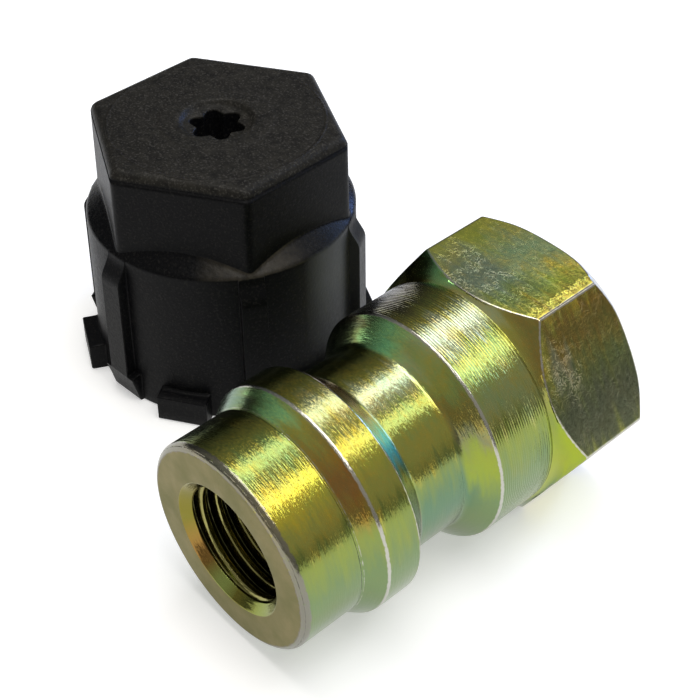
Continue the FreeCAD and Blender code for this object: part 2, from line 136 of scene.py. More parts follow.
# The cap's driver socket, and its hollows as (height, radius): the recess round the socket, the
# cavity from the rim up to the post, and the post's end
SOCKET_FLOOR = 15.5
SOCKET_TOP = 20.85
SOCKET_R = 1.62
SOCKET_LOBE = 0.62
RECESS = ((21.04, 2.5), (21.1, 2.65), (21.2, 2.76), (21.32, 2.86), (21.42, 2.95), (21.48, 3.06))
RECESS_R = 3.2
CAVITY = (
    (0.0, 9.75), (0.06, 9.6), (0.2, 9.5), (12.3, 9.5), (13.4, 8.4), (17.0, 8.4), (17.35, 8.25),
    (17.5, 7.9), (17.5, 4.2), (15.3, 4.2),
)
POST_END = ((11.3, 4.7), (10.9, 4.35), (10.9, 0.3))

# The valve's spring
SPRING_TOP = 13.6
SPRING_FLOOR = 16.75
SPRING_COIL_R = 0.85
SPRING_WIRE_R = 0.13
SPRING_TURNS = 5

# How fine the meshes are: degrees between columns, reach and step of the finer columns at the
# hexagon's corners, rows over a rounded edge, millimetres between the rows of a thread, and steps
# in a turn of the spring and round its wire
COARSE_STEP = 1.5
HEX_CORNER_COLUMNS = (1.6, 0.32)
EDGE_ROWS = 6
THREAD_ROW = 0.12
COIL_STEPS = 28
WIRE_SIDES = 12


def soft_least(a, b, softness):
    """The smaller of two values, rounded over where they are close."""
    share = np.clip(0.5 + 0.5 * (b - a) / softness, 0, 1)
    return b * (1 - share) + a * share - softness * share * (1 - share)


def soft_most(a, b, softness):
    return -soft_least(-a, -b, softness)


def smooth_step(value, low, high):
    t = np.clip((value - low) / (high - low), 0, 1)
    return t * t * (3 - 2 * t)


def angles_with(fine_spots):
    """Angles round a circle, closer together at the (centre, reach, step) spots, all in degrees."""
    angles = set(np.round(np.arange(0, 360, COARSE_STEP), 4))
    for centre, reach, step in fine_spots:
        low, high = centre - reach, centre + reach
        angles = {a for a in angles if not low - step < a < high + step}
        angles |= set(np.round(np.arange(low, high + step / 2, step), 4))
    return np.radians(sorted({round(a % 360, 4) for a in angles}))


def rounded_rows(points, support=0.03):
    """Rows along an outline of (position, radius, rounding, steps to the next, wear) points.

    Position and radius may be arrays with one value for each angle. A corner is rounded over that
    length on both sides, with a row close by on each side to keep the shading of flat faces even.
    Each row is (position, radius, wear), where wear is highest in the middle of a rounded corner.
    """
    spots = []
    for position, radius, *_ in points:
        pair = np.broadcast_arrays(np.asarray(position, float), np.asarray(radius, float))
        spots.append(np.stack(pair, -1))
    rows = []
    for i, (_, _, rounding, steps, wear) in enumerate(points):
        leaving = spots[i]
        if rounding > 0:
            before = spots[i - 1] - spots[i]
            after = spots[i + 1] - spots[i]
            length_before = np.linalg.norm(before, axis=-1, keepdims=True)
            length_after = np.linalg.norm(after, axis=-1, keepdims=True)
            before = before / length_before
            after = after / length_after
            reach = np.minimum(rounding, 0.45 * np.minimum(length_before, length_after))
            start = spots[i] + before * reach
            end = spots[i] + after * reach
            rows.append((start + before * np.minimum(support, reach / 3), 0.0))
            for t in np.linspace(0, 1, EDGE_ROWS):
                bend = start * (1 - t) ** 2 + spots[i] * 2 * t * (1 - t) + end * t * t
                rows.append((bend, wear * math.sin(math.pi * (0.15 + 0.7 * t))))
            leaving = end + after * np.minimum(support, reach / 3)
        rows.append((leaving, 0.0))
        for t in np.linspace(0, 1, steps + 1)[1:-1]:
            rows.append((leaving * (1 - t) + spots[i + 1] * t, 0.0))
    return [(row[..., 0], row[..., 1], row_wear) for row, row_wear in rows]


def thread_radius(s, angles, thread, start, end):
    """Radius of a right-handed thread's surface at S, running out at both ends."""
    pitch, crest, root = thread
    half_crest = 0.125
    flank = 0.30
    roundness = 0.35
    phase = (s / pitch - angles / (2 * math.pi)) % 1.0
    depth = np.clip((np.abs(phase - 0.5) - half_crest) / flank, 0, 1)
    depth = depth * depth * (3 - 2 * depth) * roundness + depth * (1 - roundness)
    fade = smooth_step(s, start, start + pitch / 2) * (1 - smooth_step(s, end - pitch, end))
    return crest + (root - crest) * depth * fade


def loops_to_mesh(name, loops, closed, wear=None):
    """A mesh through closed loops of points. The ends are joined to each other or closed with a fan.

    Wear is one value for each point, kept as the mesh's own attribute.
    """
    grid = np.array(loops)
    count, columns = grid.shape[:2]
    index = np.arange(count * columns).reshape(count, columns)
    following = np.roll(index, -1, axis=1)
    if closed:
        lower, upper = index, np.roll(index, -1, axis=0)
        low_next, up_next = following, np.roll(following, -1, axis=0)
    else:
        lower, upper = index[:-1], index[1:]
        low_next, up_next = following[:-1], following[1:]
    faces = np.stack([lower, low_next, up_next, upper], -1).reshape(-1, 4).tolist()
    points = grid.reshape(-1, 3)
    if not closed:
        points = np.vstack([points, grid[0].mean(axis=0), grid[-1].mean(axis=0)])
        first_pole, last_pole = len(points) - 2, len(points) - 1
        faces += [[first_pole, b, a] for a, b in zip(index[0], following[0])]
        faces += [[last_pole, a, b] for a, b in zip(index[-1], following[-1])]
    mesh = bpy.data.meshes.new(name)
    mesh.from_pydata((points * MM).tolist(), [], faces)
    mesh.validate()
    corners = np.array([points[f[:3]] for f in faces[: (len(loops) - 1) * columns]])
    if np.einsum("ij,ij->i", corners[:, 0], np.cross(corners[:, 1], corners[:, 2])).sum() < 0:
        mesh.flip_normals()
    mesh.polygons.foreach_set("use_smooth", [True] * len(mesh.polygons))
    if wear is not None:
        mesh.attributes.new("wear", "FLOAT", "POINT").data.foreach_set("value", np.ravel(wear))
    piece = bpy.data.objects.new(name, mesh)
    bpy.context.scene.collection.objects.link(piece)
    return piece


def loops_round(rows, outward, start, axis):
    """Loops of points round an axis from rows of (distance from its start, radius)."""
    loops = []
    for distance, radius in rows:
        distance = np.broadcast_to(distance, len(outward))
        radius = np.broadcast_to(radius, len(outward))
        loops.append(start + distance[:, None] * axis + radius[:, None] * outward)
    return loops


def round_the_adapter(rows, angles):
    outward = np.outer(np.cos(angles), UPWARD) + np.outer(np.sin(angles), SIDEWAYS)
    return loops_round(rows, outward, TIP, ALONG)


def round_the_cap(rows, angles):
    turned = angles + CAP_TURN
    outward = np.stack([np.cos(turned), np.sin(turned), np.zeros_like(turned)], -1)
    return loops_round(rows, outward, CAP_FOOT, np.array([0.0, 0.0, 1.0]))


def hexagon_radius(angles, half_flats, softness, first_flat):
    """Radius of a hexagon with slightly rounded corners."""
    sector = (angles - first_flat) / SIXTH
    near = np.floor(sector)
    lower = half_flats / np.cos((sector - near) * SIXTH)
    upper = half_flats / np.cos((1 - (sector - near)) * SIXTH)
    return soft_least(lower, upper, softness)


def adapter_outside(angles):
    """Rows from the tip face over the outside to the end face."""
    flats = hexagon_radius(angles, HALF_FLATS, HEX_CORNER_SOFTNESS, 0.0)
    front_edge = HEX_CORNER_FRONT - (HEX_CORNER_R - flats)
    rear_edge = soft_least(HEX_CORNER_REAR + (HEX_CORNER_R - flats), BODY_LENGTH - 0.1, 0.5)
    end_r = flats - (BODY_LENGTH - rear_edge)
    return rounded_rows([
        (0.0, PORT_SINK_R + 0.05, 0, 3, 0),
        (0.0, NOSE_R - NOSE_CHAMFER, 0.22, 1, 0.8),
        (NOSE_CHAMFER, NOSE_R, 0.22, 4, 0.9),
        (NOSE_END, NOSE_R, 0.05, 1, 0.2),
        (NOSE_END + 0.1, NOSE_R - 0.05, 0.04, 1, 0.5),
        (NOSE_END + 0.22, NOSE_R + 0.03, 0.05, 1, 0.6),
        (FLANGE_FRONT, FLANGE_R, 0.15, 2, 1.0),
        (FLANGE_REAR, FLANGE_R, 0.1, 1, 0.7),
        (GROOVE_FRONT, GROOVE_R, 0.3, 4, 0),
        (GROOVE_REAR, GROOVE_R, 0.3, 1, 0),
        (COLLAR_FRONT, COLLAR_R, 0.15, 4, 1.0),
        (COLLAR_REAR, COLLAR_R, 0.08, 1, 0),
        (COLLAR_REAR + 0.13, COLLAR_R - 0.06, 0.05, 1, 0),
        (CONE_FRONT, COLLAR_R + 0.12, 0.08, 3, 0),
        (front_edge, flats, 0.12, 5, 0.8),
        (rear_edge, flats, 0.1, 1, 0.8),
        (BODY_LENGTH, end_r, 0.06, 2, 0.5),
        (BODY_LENGTH, LINE_SINK_R + 0.05, 0, 1, 0),
    ])


def adapter_line_bore(angles):
    """Rows from the end face through the line thread to the passage behind the valve core."""
    root = LINE_THREAD[2]
    rows = [(BODY_LENGTH, LINE_SINK_R)]
    for s in np.arange(BODY_LENGTH - 0.05, LINE_RELIEF_END, -THREAD_ROW):
        relief = root - (s - LINE_RELIEF_END)
        sink = np.maximum(LINE_SINK_R - (BODY_LENGTH - s), relief)
        cut = thread_radius(s, angles, LINE_THREAD, LINE_RELIEF_END, LINE_THREAD_END)
        rows.append((s, soft_most(sink, cut, 0.05)))
    rows += [
        (LINE_RELIEF_END, root),
        (DISC_REAR, root),
        (DISC_REAR, DISC_R),
        (DISC_FRONT, DISC_R),
        (DISC_FRONT, PASSAGE_R),
        (CORE_NECK_END, PASSAGE_R),
        (CORE_NECK_END, CORE_NECK_R),
        (CORE_SEAT_END, CORE_NECK_R),
        (CORE_THREAD_END, CORE_THREAD_R),
        (CORE_THREAD_FRONT, CORE_THREAD_R),
    ]
    return rows


def adapter_port_bore(angles):
    """Rows from the core's thread through the port's thread to the countersink."""
    rows = []
    for s in np.arange(PORT_THREAD_END, 0.06, -PORT_THREAD[0] / 20):
        cut = thread_radius(s, angles, PORT_THREAD, PORT_THREAD_FRONT, PORT_THREAD_END)
        rows.append((s, soft_most(PORT_SINK_R - s, cut, 0.04)))
    rows += [(0.05, PORT_SINK_R - 0.045), (0.02, PORT_SINK_R - 0.01), (0.005, PORT_SINK_R + 0.02)]
    return rows


def adapter_look():
    angles = angles_with([(30 + 60 * i, *HEX_CORNER_COLUMNS) for i in range(6)])
    outside = adapter_outside(angles)
    bores = adapter_line_bore(angles) + adapter_port_bore(angles)
    rows = [row[:2] for row in outside] + bores
    to_corner = np.abs(np.degrees(angles) % 60 - 30)
    corner_wear = 0.9 * (1 - smooth_step(to_corner, 0.4, 1.2))
    wear = []
    for s, r, edge in outside:
        on_flats = smooth_step(s, HEX_CORNER_FRONT - 0.1, HEX_CORNER_FRONT + 0.1)
        on_flats = on_flats * (1 - smooth_step(s, HEX_CORNER_REAR, HEX_CORNER_REAR + 0.2))
        on_nose_edge = 0.85 * (1 - smooth_step(s, *NOSE_EDGE)) * smooth_step(r, *NOSE_EDGE_R)
        wear.append(np.maximum(np.maximum(edge, on_nose_edge), corner_wear * on_flats))
    wear += [np.zeros_like(angles)] * len(bores)
    return loops_to_mesh("turned_body", round_the_adapter(rows, angles), True, wear)


def slab_radius(angles, middle, half_width, face, round_r):
    """Radius of a flat-sided slab that stands out of a round wall, seen from the axis."""
    away = np.abs((angles - middle + math.pi) % (2 * math.pi) - math.pi)
    away = np.minimum(away, SIXTH)
    front = face / np.cos(away)
    flank = half_width / np.maximum(np.sin(away), 1e-3)
    return soft_most(soft_least(front, flank, RIB_SOFTNESS), round_r, RIB_SOFTNESS)


def cap_wall(angles, z):
    """Outer radius of the cap's skirt with its ribs, feet and tabs."""
    skirt = SKIRT_RIM_R + (SKIRT_TOP_R - SKIRT_RIM_R) * z / SKIRT_TOP
    taper = min(1.0, 0.1 + 0.9 * z / RIB_TAPER_TOP)
    face = skirt + RIB_REACH * (1 - smooth_step(z, *RIB_SLANT)) * taper
    foot = 1 - smooth_step(z, *FOOT_TOP)
    tab = 1 - smooth_step(z, *TAB_TOP)
    radius = skirt * np.ones_like(angles)
    for i in range(6):
        middle = SIXTH * i
        rib = slab_radius(angles, middle, RIB_HALF_WIDTH, face, skirt)
        wide = slab_radius(angles, middle, FOOT_HALF_WIDTH, face, skirt)
        flap = slab_radius(angles, middle + SIXTH / 2, TAB_HALF_WIDTH, TAB_REACH_R, skirt)
        radius = np.maximum(radius, np.maximum(rib, skirt + (wide - skirt) * foot))
        radius = np.maximum(radius, skirt + (flap - skirt) * tab)
    return radius


def lobed_radius(angles):
    """The driver socket's six lobes."""
    wave = (1 + np.cos(6 * angles)) / 2
    return SOCKET_R + SOCKET_LOBE * wave ** 0.8


def cap_top(angles):
    """Rows from the socket's floor up through the recess and over the rounded edge of the head."""
    lobes = lobed_radius(angles)
    rows = [(SOCKET_FLOOR, 0.1), (SOCKET_FLOOR, lobes * 0.9), (SOCKET_FLOOR + 0.02, lobes)]
    rows += [(SOCKET_TOP, lobes), (SOCKET_TOP + 0.1, lobes + 0.04), (SOCKET_TOP + 0.15, lobes + 0.12)]
    rows += [*RECESS, (CAP_HEIGHT, RECESS_R)]
    head = hexagon_radius(angles, HEAD_HALF_FLATS, HEAD_CORNER_SOFTNESS, SIXTH / 2)
    flat_r = head * (HEAD_HALF_FLATS - HEAD_EDGE) / HEAD_HALF_FLATS
    for share in np.linspace(0.1, 1.0, 8):
        rows.append((CAP_HEIGHT, RECESS_R + (flat_r - RECESS_R) * share))
    for turn in np.radians([12, 26, 40, 54, 68, 80, 90]):
        inset = HEAD_EDGE * (1 - math.sin(turn))
        drop = HEAD_EDGE * (1 - math.cos(turn))
        rows.append((CAP_HEIGHT - drop, head * (HEAD_HALF_FLATS - inset) / HEAD_HALF_FLATS))
    return rows


def cap_outside(angles):
    """Rows from the head's flats down over the shoulder and the skirt to the rim."""
    rows = []
    for z in np.concatenate([np.linspace(20.8, 15.4, 12), np.linspace(15.2, 13.7, 22)]):
        half_flats = HEAD_HALF_FLATS + HEAD_DRAFT * (CAP_HEIGHT - z)
        head = hexagon_radius(angles, half_flats, HEAD_CORNER_SOFTNESS, SIXTH / 2)
        shoulder = SKIRT_TOP_R - (z - SKIRT_TOP) * SHOULDER_SLOPE
        rows.append((z, soft_most(head, soft_least(shoulder, cap_wall(angles, z), 0.25), 0.18)))
    skirt = [np.linspace(13.5, 11.5, 10), np.linspace(11, 3.1, 8), np.linspace(2.9, 2.3, 13)]
    for z in [*np.concatenate(skirt), 1.0]:
        rows.append((z, cap_wall(angles, z)))
    rim = cap_wall(angles, 0.3)
    return rows + [(0.2, rim), (0.08, rim - 0.05), (0.0, rim - 0.18)]


def cap_look():
    spots = []
    for i in range(6):
        for side, reach, step in CAP_SIDES:
            spots.append((60 * i + side, reach, step))
            spots.append((60 * i - side, reach, step))
    angles = angles_with(spots)
    rows = cap_top(angles) + cap_outside(angles) + list(CAVITY)
    for z in np.arange(15.25, 11.4, -THREAD_ROW):
        rows.append((z, thread_radius(z, angles, POST_THREAD, *POST_THREAD_ENDS)))
    rows += POST_END
    return loops_to_mesh("moulded_cap", round_the_cap(rows, angles), False)


def spring_look():
    """The valve's coil spring as a round wire."""
    turns = np.linspace(0, SPRING_TURNS * 2 * math.pi, SPRING_TURNS * COIL_STEPS + 1)
    around = np.linspace(0, 2 * math.pi, WIRE_SIDES + 1)[:-1]
    loops = []
    first = SPRING_TOP + SPRING_WIRE_R
    last = SPRING_FLOOR - SPRING_WIRE_R
    for turn in turns:
        s = first + (last - first) * turn / turns[-1]
        outward = math.cos(turn) * UPWARD + math.sin(turn) * SIDEWAYS
        middle = TIP + ALONG * s + outward * SPRING_COIL_R
        wire = SPRING_WIRE_R * (np.outer(np.cos(around), outward) + np.outer(np.sin(around), ALONG))
        loops.append(middle + wire)
    return loops_to_mesh("valve_spring", loops, False)


body = adapter_look()
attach(body, "adapter")
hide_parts("adapter_body")

cap = cap_look()
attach(cap, "adapter")
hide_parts("service_cap")

spring = spring_look()
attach(spring, "adapter")
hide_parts("core_spring")
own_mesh(spring)


class Nodes:
    """Adds and joins the nodes of one material or group."""

    def __init__(self, tree):
        self.tree = tree

    def add(self, kind, **values):
        node = self.tree.nodes.new(kind)
        for name, value in values.items():
            setattr(node, name, value)
        return node

    def join(self, source, target):
        self.tree.links.new(source, target)

    def feed(self, socket, value):
        if isinstance(value, bpy.types.NodeSocket):
            self.join(value, socket)
        else:
            socket.default_value = value

    def give(self, out, **values):
        """Joins values to a group's outputs by name."""
        for name, value in values.items():
            self.join(value, out.inputs[name])

    def point(self):
        """The shaded point's place in metres."""
        return self.add("ShaderNodeTexCoord").outputs["Object"]

    def maths(self, operation, *values):
        node = self.add("ShaderNodeMath", operation=operation)
        for socket, value in zip(node.inputs, values):
            self.feed(socket, value)
        return node.outputs[0]

    def product(self, first, *others):
        for other in others:
            first = self.maths("MULTIPLY", first, other)
        return first

    def largest(self, first, *others):
        for other in others:
            first = self.maths("MAXIMUM", first, other)
        return first

    def vector(self, operation, *values):
        node = self.add("ShaderNodeVectorMath", operation=operation)
        for socket, value in zip(node.inputs, values):
            self.feed(socket, value)
        return node.outputs["Value" if operation in ("DOT_PRODUCT", "LENGTH") else "Vector"]

    def combine(self, x, y, z):
        node = self.add("ShaderNodeCombineXYZ")
        for socket, value in zip(node.inputs, (x, y, z)):
            self.feed(socket, value)
        return node.outputs[0]

    def noise(self, where, scale, detail, roughness, distortion=0.0):
        node = self.add("ShaderNodeTexNoise")
        self.feed(node.inputs["Vector"], where)
        self.feed(node.inputs["Scale"], scale)
        node.inputs["Detail"].default_value = detail
        node.inputs["Roughness"].default_value = roughness
        node.inputs["Distortion"].default_value = distortion
        return node.outputs[0]

    def stretch(self, value, low, high, to_low=0.0, to_high=1.0):
        """The value's range from low to high, moved to another range and kept inside it."""
        node = self.add("ShaderNodeMapRange")
        for socket, number in zip(list(node.inputs)[:5], (value, low, high, to_low, to_high)):
            self.feed(socket, number)
        return node.outputs[0]

    def between(self, share, a, b):
        node = self.add("ShaderNodeMix", data_type="FLOAT")
        for socket, value in ((node.inputs[0], share), (node.inputs[2], a), (node.inputs[3], b)):
            self.feed(socket, value)
        return node.outputs[0]

    def mix(self, share, a, b, way="MIX"):
        node = self.add("ShaderNodeMix", data_type="RGBA", blend_type=way)
        self.feed(node.inputs[0], share)
        for socket, value in ((node.inputs[6], a), (node.inputs[7], b)):
            if isinstance(value, tuple):
                value = (*value, 1.0)
            self.feed(socket, value)
        return node.outputs[2]

    def bump(self, height, distance, normal=None, strength=1.0):
        node = self.add("ShaderNodeBump")
        node.inputs["Strength"].default_value = strength
        node.inputs["Distance"].default_value = distance
        self.feed(node.inputs["Height"], height)
        if normal is not None:
            self.join(normal, node.inputs["Normal"])
        return node.outputs[0]


FLOAT = "NodeSocketFloat"
VECTOR = "NodeSocketVector"


def new_group(name, outputs, inputs=()):
    """An empty node group with the named (name, socket kind) sockets."""
    tree = bpy.data.node_groups.new(name, "ShaderNodeTree")
    for socket, kind in inputs:
        tree.interface.new_socket(name=socket, in_out="INPUT", socket_type=kind)
    for socket, kind in outputs:
        tree.interface.new_socket(name=socket, in_out="OUTPUT", socket_type=kind)
    nodes = Nodes(tree)
    return tree, nodes, nodes.add("NodeGroupInput").outputs, nodes.add("NodeGroupOutput")


def use_group(nodes, tree, **values):
    node = nodes.add("ShaderNodeGroup")
    node.node_tree = tree
    for name, value in values.items():
        nodes.feed(node.inputs[name], value)
    return node.outputs


def place_on_adapter():
    """Where a point lies on the adapter.

    Along and Out are millimetres from the tip face and from the axis. Angle is in degrees from the
    upper side towards +X. Ring is a place for textures that run round the axis.
    """
    outputs = (("Along", FLOAT), ("Out", FLOAT), ("Angle", FLOAT), ("Ring", VECTOR))
    tree, nodes, _, out = new_group("Place on the adapter", outputs)
    from_tip = nodes.vector("SUBTRACT", nodes.point(), tuple(TIP * MM))
    millimetres = nodes.vector("MULTIPLY", from_tip, (1000, 1000, 1000))
    along = nodes.vector("DOT_PRODUCT", millimetres, tuple(ALONG))
    up = nodes.vector("DOT_PRODUCT", millimetres, tuple(UPWARD))
    side = nodes.vector("DOT_PRODUCT", millimetres, tuple(SIDEWAYS))
    across = nodes.combine(up, side, 0.0)
    distance = nodes.vector("LENGTH", across)
    facing = nodes.vector("NORMALIZE", across)
    ring = nodes.vector("ADD", facing, nodes.combine(0.0, 0.0, along))
    angle = nodes.maths("DEGREES", nodes.maths("ARCTAN2", side, up))
    nodes.give(out, Along=along, Out=distance, Angle=angle, Ring=ring)
    return tree


def patch_of_tint():
    """A soft-edged patch round one place on the adapter, where the coating took another tint or where
    a highlight or reflection is painted.
    """
    inputs = [(name, FLOAT) for name in ("Along", "Angle", "Middle", "Reach", "Turn", "Spread")]
    tree, nodes, given, out = new_group("Patch of tint", (("Mask", FLOAT),), inputs)
    from_middle = nodes.maths("SUBTRACT", given["Along"], given["Middle"])
    lengthways = nodes.maths("DIVIDE", nodes.maths("ABSOLUTE", from_middle), given["Reach"])
    from_turn = nodes.maths("SUBTRACT", given["Angle"], given["Turn"])
    sideways = nodes.maths("DIVIDE", nodes.maths("ABSOLUTE", from_turn), given["Spread"])
    inside = nodes.stretch(lengthways, 1.0, 0.7)
    middle = nodes.maths("SMOOTH_MIN", nodes.stretch(sideways, 1.0, 0.15), 1.0, 0.2)
    nodes.give(out, Mask=nodes.product(inside, middle))
    return tree


def turning_marks():
    """Irregular rings left by the lathe tool, and the specks that they break up into."""
    tree, nodes, given, out = new_group(
        "Turning marks",
        (("Rings", FLOAT), ("Specks", FLOAT)),
        (("Ring", VECTOR), ("Lines", FLOAT), ("Streaks", FLOAT)),
    )
    long_scale = nodes.combine(given["Streaks"], given["Streaks"], given["Lines"])
    rings = nodes.noise(nodes.vector("MULTIPLY", given["Ring"], long_scale), 1.0, 2.0, 0.6)
    short_scale = nodes.vector("MULTIPLY", long_scale, (6.0, 6.0, 1.3))
    specks = nodes.noise(nodes.vector("MULTIPLY", given["Ring"], short_scale), 1.0, 2.0, 0.6)
    nodes.give(out, Rings=rings, Specks=specks)
    return tree


def scratches_and_scuffs():
    """Straight scratches in a few directions and short curly scuffs, as one mask."""
    tree, nodes, given, out = new_group(
        "Scratches and scuffs",
        (("Mask", FLOAT),),
        (("Place", VECTOR), ("Scratches", FLOAT), ("Scuffs", FLOAT)),
    )
    place = given["Place"]
    lines = []
    for turn in ((0.3, 0.2, 0.6), (1.1, 0.9, -0.7), (-0.8, 0.5, 1.9), (0.4, -1.2, 2.7)):
        turned = nodes.add("ShaderNodeMapping")
        nodes.join(place, turned.inputs["Vector"])
        turned.inputs["Rotation"].default_value = turn
        turned.inputs["Scale"].default_value = (1.0, 3.5, 3.5)
        away = nodes.maths("SUBTRACT", nodes.noise(turned.outputs[0], 260.0, 0.0, 0.5, 0.1), 0.5)
        lines.append(nodes.stretch(nodes.maths("ABSOLUTE", away), 0.008, 0.002))
    here = nodes.stretch(nodes.noise(place, 700.0, 2.0, 0.6), 0.48, 0.6)
    straight = nodes.product(nodes.largest(*lines), here, given["Scratches"])
    away = nodes.maths("SUBTRACT", nodes.noise(place, 2300.0, 2.0, 0.6, 0.8), 0.5)
    curls = nodes.stretch(nodes.maths("ABSOLUTE", away), 0.03, 0.006)
    there = nodes.stretch(nodes.noise(place, 800.0, 3.0, 0.65), 0.42, 0.6)
    curls = nodes.product(curls, there, given["Scuffs"])
    nodes.give(out, Mask=nodes.largest(straight, curls))
    return tree


def fine_grain():
    """Fine grain over a surface and the slow clouds behind it, as two masks."""
    tree, nodes, given, out = new_group(
        "Fine grain",
        (("Grain", FLOAT), ("Clouds", FLOAT)),
        (("Place", VECTOR), ("Fine", FLOAT), ("Broad", FLOAT)),
    )
    grain = nodes.noise(given["Place"], given["Fine"], 3.0, 0.62)
    clouds = nodes.noise(given["Place"], given["Broad"], 3.0, 0.6)
    nodes.give(out, Grain=grain, Clouds=clouds)
    return tree


PLACE = place_on_adapter()
PATCH = patch_of_tint()
MARKS = turning_marks()
SCRATCHES = scratches_and_scuffs()
GRAIN = fine_grain()


def new_material(name):
    material = bpy.data.materials.new(name)
    material.use_nodes = True
    return material, Nodes(material.node_tree), material.node_tree.nodes["Principled BSDF"].inputs


# Tints that yellow chromate takes, by how thick it lies, and the colours of painted highlights and
# painted reflections
OLIVE = (0.42, 0.41, 0.09)
LEAF = (0.17, 0.24, 0.105)
LIME = (0.24, 0.29, 0.07)
GOLD = (0.66, 0.56, 0.06)
# A painted highlight: the pale whitish green where the window's highlight falls
HIGHLIGHT_PALE = (0.55, 0.62, 0.42)
RUST = (0.34, 0.17, 0.05)
TEAL = (0.05, 0.55, 0.80)
ROSE = (0.42, 0.17, 0.16)
SEA = (0.37, 0.85, 0.36)
LAGOON = (0.10, 0.20, 0.135)
LEMON = (0.31, 0.37, 0.03)
BROWN = (0.30, 0.21, 0.06)
MEADOW = (0.29, 0.41, 0.13)
MOSS = (0.54, 0.68, 0.36)
SMOKE = (0.20, 0.21, 0.12)
SLATE = (0.145, 0.16, 0.105)
PINE = (0.34, 0.42, 0.30)
FERN = (0.36, 0.46, 0.13)
REED = (0.34, 0.41, 0.19)
# This and the next are painted reflections: the dark shade that the collar mirrors on its upper left
SHADE_REFLECTION = (0.13, 0.09, 0.07)
DEEP_SHADE_REFLECTION = (0.045, 0.036, 0.029)
STRAW = (0.68, 0.72, 0.12)
CORN = (0.74, 0.72, 0.14)
# A painted reflection: the blue that the hexagon's rear chamfer mirrors
BLUE_REFLECTION = (0.17, 0.205, 0.24)
WARMER = (1.35, 0.95, 0.45)
COOLER = (0.6, 0.95, 1.15)

# Tints of the countersink, of the thread's crest, of its root darkened as painted shade, and of the
# matt end faces
AMBER = (0.27, 0.22, 0.035)
HAY = (0.19, 0.19, 0.04)
CREST = (0.30, 0.28, 0.10)
ROOT_SHADE = (0.07, 0.07, 0.03)
TAN = (0.205, 0.173, 0.062)
DARK_TAN = (0.175, 0.163, 0.058)

# What scratches, the worn nose and the other worn edges show
SCUFF = (0.36, 0.29, 0.19)
WORN = (0.22, 0.20, 0.18)
BARE = (0.50, 0.48, 0.44)

# Where those tints lie: tint, strength, middle and reach along the axis, turn and spread round it
TINT_PATCHES = (
    (MEADOW, 0.9, 2.6, 3.2, 9.0, 13.0),
    # Painted highlights: pale patches where the window's highlight falls on flange, groove and collar
    (HIGHLIGHT_PALE, 0.5, 7.9, 1.7, 9.0, 15.0),
    (HIGHLIGHT_PALE, 0.75, 13.2, 3.2, 9.0, 15.0),
    (HIGHLIGHT_PALE, 1.0, 19.6, 3.4, 9.0, 14.0),
    (MEADOW, 0.7, 16.5, 6.5, 31.0, 13.0),
    (GOLD, 0.95, 2.4, 3.2, 33.0, 16.0),
    (GOLD, 0.4, 7.9, 1.6, 31.0, 15.0),
    (LAGOON, 0.7, 13.2, 3.0, 86.0, 32.0),
    # Painted reflections: the collar's upper left darkened where it mirrors the cap's shade
    (SHADE_REFLECTION, 0.8, 19.5, 3.4, -30.0, 26.0),
    (DEEP_SHADE_REFLECTION, 0.9, 19.5, 3.4, -44.0, 20.0),
    (REED, 0.75, 19.6, 3.4, 49.0, 15.0),
    (LAGOON, 0.8, 5.75, 0.85, -48.0, 32.0),
    (SEA, 0.75, 5.75, 0.85, -12.0, 18.0),
    (RUST, 0.95, 5.75, 0.85, 38.0, 30.0),
    (ROSE, 1.0, 10.1, 0.95, 0.0, 30.0),
    (TEAL, 1.0, 10.1, 0.95, 36.0, 20.0),
    (ROSE, 0.35, 10.1, 0.95, 88.0, 30.0),
    (SEA, 0.9, 16.1, 0.95, -14.0, 20.0),
    (FERN, 0.6, 16.1, 0.95, 14.0, 14.0),
    (BROWN, 0.6, 16.1, 0.95, 44.0, 16.0),
    (SMOKE, 0.8, 16.1, 0.95, 57.0, 9.0),
    (LEMON, 0.6, 16.1, 0.95, 74.0, 16.0),
    (SEA, 0.95, 23.1, 1.5, -20.0, 15.0),
    (BROWN, 0.8, 23.1, 1.1, 36.0, 26.0),
    (LEMON, 0.95, 23.1, 1.5, 84.0, 30.0),
)

# The same on the hexagon's flats
FLAT_PATCHES = (
    (MOSS, 0.9, 27.0, 5.0, -2.0, 22.0),
    (PINE, 0.85, 24.0, 2.6, -6.0, 26.0),
    (MEADOW, 0.75, 25.0, 2.4, 15.0, 12.0),
    (LIME, 1.0, 27.0, 7.0, 66.0, 36.5),
    (BROWN, 0.95, 28.0, 5.5, 40.0, 20.0),
    (SLATE, 0.95, 27.0, 6.0, 78.0, 36.0),
    (BARE, 0.3, 24.4, 1.2, 52.0, 10.0),
)

# The same in the port's countersink
SINK_PATCHES = (
    (RUST, 0.8, 0.3, 1.4, -134.0, 34.0),
    (LIME, 0.9, 0.3, 1.4, 140.0, 36.0),
    (FERN, 0.8, 0.3, 1.4, -164.0, 20.0),
)

# The brightest part of the teal tint, and where the hexagon is scuffed most, as middle and reach
# along the axis, turn and spread round it
BRIGHT_TEAL = (10.1, 0.95, 35.0, 19.0)
TOP_SCUFFS = (24.4, 2.4, -4.0, 34.0)
RIGHT_SCUFFS = (24.2, 2.0, 54.0, 20.0)

# The side with the liveliest film, and how far from it olive turns to lime and lime to leaf green,
# in degrees. The green below is partly a painted reflection of the table.
LIVELY_SIDE = 20.0
TO_LIME = (34.0, 44.0)
TO_LEAF = (46.0, 66.0)

# Heights of the marks in metres, and the pitch of the tool's feed lines in millimetres
RING_HEIGHT = 0.000017
SPECK_HEIGHT = 0.000007
SCRATCH_DEPTH = 0.000003
FEED_PITCH = 0.21


